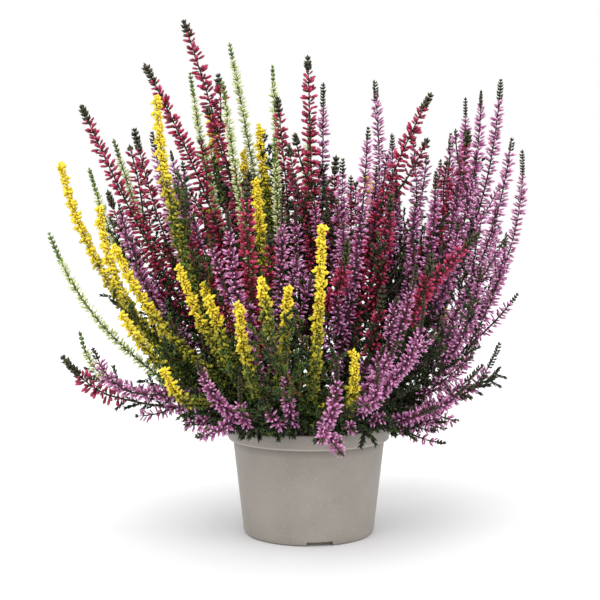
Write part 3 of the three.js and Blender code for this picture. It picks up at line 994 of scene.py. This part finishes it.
# Low outer stems also carry shoots that sag past the rim of the pot
def droopingStems(stem, chance):
    look = sideShoots["drooping"]
    tip = stem.points[-1]
    made = []
    if tip.z > drooping["tipHeight"] or math.hypot(tip.x, tip.y) < drooping["tipReach"]:
        return made
    distance = look["range"][0] * stem.length
    while distance < look["range"][1] * stem.length:
        point, along = stem.at(distance)
        distance += look["every"] * chance.uniform(*drooping["everyShares"])
        length = chance.uniform(*look["length"])
        away = Vector((point.x, point.y, 0)).normalized()
        turn = Quaternion(up, math.radians(look["lean"]) * scatter(chance, 1))
        out = turn @ (along + away) - up * chance.uniform(*drooping["sag"])
        points = bentLine(point, out, away + up * drooping["rise"], 1, length)
        isOut = math.hypot(point.x, point.y) > drooping["nearest"]
        end = points[-1] - drooping["middle"]
        isNear = math.hypot(end.x, end.y) < drooping["furthest"]
        if isOut and isNear and not any(isByPot(place) for place in points):
            made.append(Stem(points, [], "pink"))
    return made


def isByPot(point):  # or too low to hang there
    isLow = point.z < potShape["height"] + drooping["clearance"]
    isClose = math.hypot(point.x, point.y) < potShape["rimRadius"] + drooping["clearance"]
    return isLow and isClose or point.z < drooping["lowest"]


# Knobs are green at the foot of a golden shoot and yellow from the middle up
def goldenSpike(form, stem, chance):
    bottom = max(0.0, stem.clothedFrom - golden["overlap"])
    distance = bottom
    while distance < stem.length - golden["end"]:
        point, along = stem.at(distance)
        rise = (distance - bottom) / (stem.length - bottom)
        endSize = golden["endSize"] + (stem.length - distance) / golden["taper"]
        size = min(golden["footSize"] - golden["sizeLoss"] * rise, endSize)
        size *= 1 + golden["lumpSwell"] * math.sin(math.tau * distance / golden["lumpLength"])
        leanShare = min(1, golden["footLean"] - golden["leanLoss"] * rise)
        first = chance.uniform(0, math.tau)
        for i in range(golden["count"]):
            angle = first + math.tau * i / golden["count"] + scatter(chance, golden["turnScatter"])
            lean = math.radians(chance.uniform(*golden["lean"]) * leanShare)
            direction = leaningFrom(along, angle, lean)
            yellow = golden["yellowing"] * rise - golden["greenShare"]
            pick = round(yellow + chance.uniform(*golden["mottle"]))
            knob = knobs[min(len(knobs) - 1, max(0, pick))]
            grown = size * chance.uniform(*golden["sizes"])
            setAt(form, knob, point, direction, grown, angle)
        distance += golden["step"]
    point, along = stem.at(stem.length)
    foot = point - along * sprigSizes["knob"]["length"]
    setAt(form, knobs[-1], foot, along, golden["crownSize"], 0)


def leafySleeve(form, stem, stop, step, leans, choices, chance):
    distance = 0.0
    angle = chance.uniform(0, math.tau)
    while distance < stop:
        point, along = stem.at(distance)
        angle += math.radians(cover["leafTurn"])
        direction = leaningFrom(along, angle, math.radians(chance.uniform(*leans)))
        template = chance.choice(choices)
        sprig = direction * template.reach
        if isInPot(point + sprig) or isInPot(point + sprig / 2):
            direction = (direction + up * cover["lift"]).normalized()
        if not isInPot(point) and not isInPot(point + direction * template.reach):
            setAt(form, template, point, direction, chance.uniform(*cover["sizes"]), angle)
        distance += step * chance.uniform(*cover["stepShares"])


# Sprigs that hang over the rim of the pot
def rimFringe(form, stem, chance):
    distance = 0.0
    nearest, furthest = cover["fringeRadii"]
    while distance < stem.length:
        point, _ = stem.at(distance)
        distance += cover["fringeStep"] * chance.uniform(*cover["stepShares"])
        away = Vector((point.x, point.y, 0))
        if point.z > cover["fringeTop"] or not nearest < away.length < furthest:
            continue
        turn = Quaternion(up, math.radians(scatter(chance, cover["fringeTurn"])))
        direction = turn @ away.normalized() - up * chance.uniform(*cover["fringeDroop"])
        direction.normalize()
        template = chance.choice(longSprigs[:3] + shortSprigs[:3])
        sprig = direction * template.reach
        if not any(isInPot(point + sprig * share) for share in cover["fringeTests"]):
            grown = chance.uniform(*cover["fringeSizes"])
            setAt(form, template, point, direction, grown, distance * cover["fringeRoll"])


def dressSpray(name):
    kind = name.split("_")[0]
    chance = random.Random(name)
    form = newForm()
    stems = list(traced[name])
    for stem in traced[name]:
        if stem.isLeafy:
            continue
        stems += sideStems(stem, "leafy", chance)
        if kind == "pink":
            stems += droopingStems(stem, chance)
        if kind == "yellow":
            stems += sideStems(stem, "golden", chance)
        elif kind in sideShoots:
            stems += sideStems(stem, kind, chance)
    for stem in stems:
        growTube(form, stem)
    bmesh.ops.recalc_face_normals(form, faces=form.faces)
    sortFaces(form)
    for stem in stems:
        dressStem(form, stem, kind, chance)
    piece = addPiece(name.replace("spray", "heather"), form, sprayFinishes[kind])
    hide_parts(name)
    return piece


def dressStem(form, stem, kind, chance):
    rimFringe(form, stem, chance)
    if stem.isLeafy or stem.habit in ("leafy", "golden"):
        step = cover["leafyStep"] if stem.isLeafy else cover["shootStep"]
        leafySleeve(form, stem, stem.length, step, cover["leafyLean"], shortSprigs, chance)
        return
    choices = longSprigs + shortSprigs
    step = cover["whiteSprigStep"] if kind == "white" else cover["sprigStep"]
    stop = stem.clothedFrom if kind == "yellow" else flowersFrom(stem, spikes[kind])
    leafySleeve(form, stem, stop, step, cover["sprigLean"], choices, chance)
    if kind == "yellow":
        goldenSpike(form, stem, chance)
    else:
        flowerSpike(form, stem, kind, chance)


def addPiece(name, form, finishes):
    mesh = bpy.data.meshes.new(name)
    form.to_mesh(mesh)
    form.free()
    for finish in finishes:
        mesh.materials.append(finish)
    piece = bpy.data.objects.new(name, mesh)
    scene.collection.objects.link(piece)
    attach(piece, "root")
    return piece


def countTriangles(piece):
    return sum(len(face.vertices) - 2 for face in piece.data.polygons)


dressed = [dressSpray(name) for name in nodeNames]
counts = [countTriangles(piece) for piece in dressed]
report(f"{len(dressed)} sprays dressed, {sum(counts)} triangles, {max(counts)} at most")


# The pot is turned from its outline, then its foot is notched and its base is drilled
def potOutline():
    height = potShape["height"]
    collarFoot = height - potShape["collarHeight"]
    rounding = potShape["footRounding"]
    ringRadius = potShape["footRadius"] - rounding
    inner = wallRadius(height) - potShape["wall"]
    plateTop = potShape["plateHeight"] + potShape["plateThickness"]
    chamfer = potShape["chamfer"]
    return [
        (0, potShape["plateHeight"]),
        (ringRadius - potShape["footRing"], potShape["plateHeight"]),
        (ringRadius - potShape["footRing"], 0),
        (ringRadius, 0),
        (wallRadius(rounding) - chamfer, chamfer),
        (wallRadius(rounding), rounding),
        (wallRadius(2 * rounding), 2 * rounding),
        (wallRadius(collarFoot), collarFoot),
        (potShape["collarBottomRadius"], collarFoot),
        (potShape["rimRadius"], height),
        (inner, height),
        (wallRadius(plateTop) - potShape["wall"], plateTop),
        (0, plateTop),
    ]


def spunForm(outline, steps):
    form = newForm()
    verts = [form.verts.new((radius, 0, height)) for radius, height in outline]
    edges = [form.edges.new(pair) for pair in zip(verts, verts[1:])]
    geom = verts + edges
    bmesh.ops.spin(form, geom=geom, axis=up, angle=math.tau, steps=steps, use_merge=True)
    bmesh.ops.remove_doubles(form, verts=form.verts, dist=potShape["weld"])
    bmesh.ops.recalc_face_normals(form, faces=form.faces)
    return form


def ringEdges(form, radius, height):
    near = potShape["tolerance"]

    def isOnRing(vert):
        distance = math.hypot(vert.co.x, vert.co.y)
        return abs(distance - radius) < near and abs(vert.co.z - height) < near

    return [edge for edge in form.edges if all(isOnRing(vert) for vert in edge.verts)]


def makePot():
    outline = potOutline()
    form = spunForm(outline, potShape["spinSteps"])
    for place, offset in potShape["bevels"].items():
        edges = ringEdges(form, *outline[place])
        bmesh.ops.bevel(
            form,
            geom=edges,
            offset=offset,
            segments=potShape["bevelSegments"],
            profile=0.5,
            affect="EDGES",
            material=-1,
        )
    for face in form.faces:
        face.smooth = True
    pot = addPiece("plastic_pot", form, [taupePlastic])
    cutter = addPiece("cutter", cutterForm(), [])
    modifier = pot.modifiers.new("cut", "BOOLEAN")
    modifier.operation = "DIFFERENCE"
    modifier.solver = "EXACT"
    modifier.object = cutter
    graph = bpy.context.evaluated_depsgraph_get()
    whole = pot.data
    pot.data = bpy.data.meshes.new_from_object(pot.evaluated_get(graph))
    pot.modifiers.clear()
    bpy.data.objects.remove(cutter)
    bpy.data.meshes.remove(whole)
    pot.data.set_sharp_from_angle(angle=math.radians(potShape["sharpAngle"]))
    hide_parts("pot")
    return pot


def cutterForm():
    form = bmesh.new()
    for i in range(potShape["notchCount"]):
        bearing = math.radians(potShape["notchBearing"] + i * 360 / potShape["notchCount"])
        size = (potShape["notchDepth"], potShape["notchWidth"], 2 * potShape["plateHeight"])
        place = Matrix.Rotation(bearing, 4, "Z") @ Matrix.Translation((potShape["footRadius"], 0, 0))
        bmesh.ops.create_cube(form, size=1, matrix=place @ Matrix.Diagonal((*size, 1)))
    for i in range(potShape["drainCount"]):
        bearing = math.radians(potShape["firstDrainBearing"] + i * 360 / potShape["drainCount"])
        middle = Vector((math.cos(bearing), math.sin(bearing), 0)) * potShape["drainCircle"]
        middle.z = potShape["plateHeight"]
        radius = potShape["drainRadius"]
        bmesh.ops.create_cone(
            form,
            cap_ends=True,
            segments=potShape["drainSides"],
            radius1=radius,
            radius2=radius,
            depth=potShape["drillDepth"],
            matrix=Matrix.Translation(middle),
        )
    return form


taupePlastic = potFinish()
plasticPot = makePot()
report(f"pot turned, {countTriangles(plasticPot)} triangles")

# Soil: the plug keeps its own solid, and crumbs lie on it
crumbs = {
    "count": 420,
    "sizes": (0.0008, 0.0026),
    "flatness": 0.6,
    "wallGap": 0.004,
    "crown": 0.0025,
    "seed": 7,
}


def makeCrumbs():
    chance = random.Random(crumbs["seed"])
    crumb = newForm()
    bmesh.ops.create_icosphere(crumb, subdivisions=1, radius=1.0)
    template = Template(crumb)
    form = newForm()
    widest = wallRadius(soilTop) - potShape["wall"] - crumbs["wallGap"]
    for _ in range(crumbs["count"]):
        distance = widest * math.sqrt(chance.random())
        bearing = chance.uniform(0, math.tau)
        place = Vector((distance * math.cos(bearing), distance * math.sin(bearing), soilTop))
        place.z -= crumbs["crown"] * (distance / widest) ** 2
        size = chance.uniform(*crumbs["sizes"])
        width = size * chance.uniform(crumbs["flatness"], 1)
        squash = Matrix.Diagonal((size, width, size * crumbs["flatness"], 1))
        turn = Matrix.Rotation(chance.uniform(0, math.tau), 4, "Z")
        template.copyInto(form, Matrix.Translation(place) @ turn @ squash)
    piece = addPiece("soil_crumbs", form, [peat])


peat = soilFinish()
makeCrumbs()
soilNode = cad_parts["soil"]
soilNode.data.materials.clear()
soilNode.data.materials.append(peat)
report("soil crumbled")

# Stage: a pale floor, soft light from above and both sides, and the camera of the photograph
stage = {
    "floorSize": 8.0,
    "floorColour": (0.75, 0.75, 0.76),
    "floorRough": 0.9,
    "skyColour": (1.0, 1.0, 1.0),
    "skyStrength": 1.0,
    "lights": [
        {"from": (-0.3, -0.7, 1.1), "strength": 1.8, "softness": 50},
        {"from": (0.9, -0.6, 0.8), "strength": 0.5, "softness": 60},
        {"from": (0.0, 0.4, 1.0), "strength": 0.5, "softness": 60},
    ],
}
camera = {
    "lens": 75.66,
    "sensor": 36.0,
    "place": (-0.007, -1.0, 0.254),
    "aim": (-0.007, 0.0, 0.1856),
}


def aimed(place, target):
    turn = (Vector(target) - Vector(place)).to_track_quat("-Z", "Y").to_matrix().to_4x4()
    return Matrix.Translation(place) @ turn


def makeFloor():
    form = bmesh.new()
    bmesh.ops.create_grid(form, x_segments=1, y_segments=1, size=stage["floorSize"] / 2)
    finish = Finish("pale floor", stage["floorRough"])
    finish.colour(padded(stage["floorColour"]))
    mesh = bpy.data.meshes.new("floor")
    form.to_mesh(mesh)
    form.free()
    mesh.materials.append(finish.material)
    floor = bpy.data.objects.new("floor", mesh)
    scene.collection.objects.link(floor)


def makeLights():
    world = bpy.data.worlds.new("studio")
    world.use_nodes = True
    background = world.node_tree.nodes["Background"]
    background.inputs["Color"].default_value = padded(stage["skyColour"])
    background.inputs["Strength"].default_value = stage["skyStrength"]
    scene.world = world
    for i, light in enumerate(stage["lights"]):
        lamp = bpy.data.lights.new(f"softbox {i + 1}", "SUN")
        lamp.energy = light["strength"]
        lamp.angle = math.radians(light["softness"])
        holder = bpy.data.objects.new(lamp.name, lamp)
        holder.matrix_world = aimed(light["from"], (0, 0, 0))
        scene.collection.objects.link(holder)


def makeCamera():
    lens = bpy.data.cameras.new("camera")
    lens.lens = camera["lens"]
    lens.sensor_width = camera["sensor"]
    holder = bpy.data.objects.new("camera", lens)
    holder.matrix_world = aimed(camera["place"], camera["aim"])
    scene.collection.objects.link(holder)
    scene.camera = holder


makeFloor()
makeLights()
makeCamera()
report("stage set")
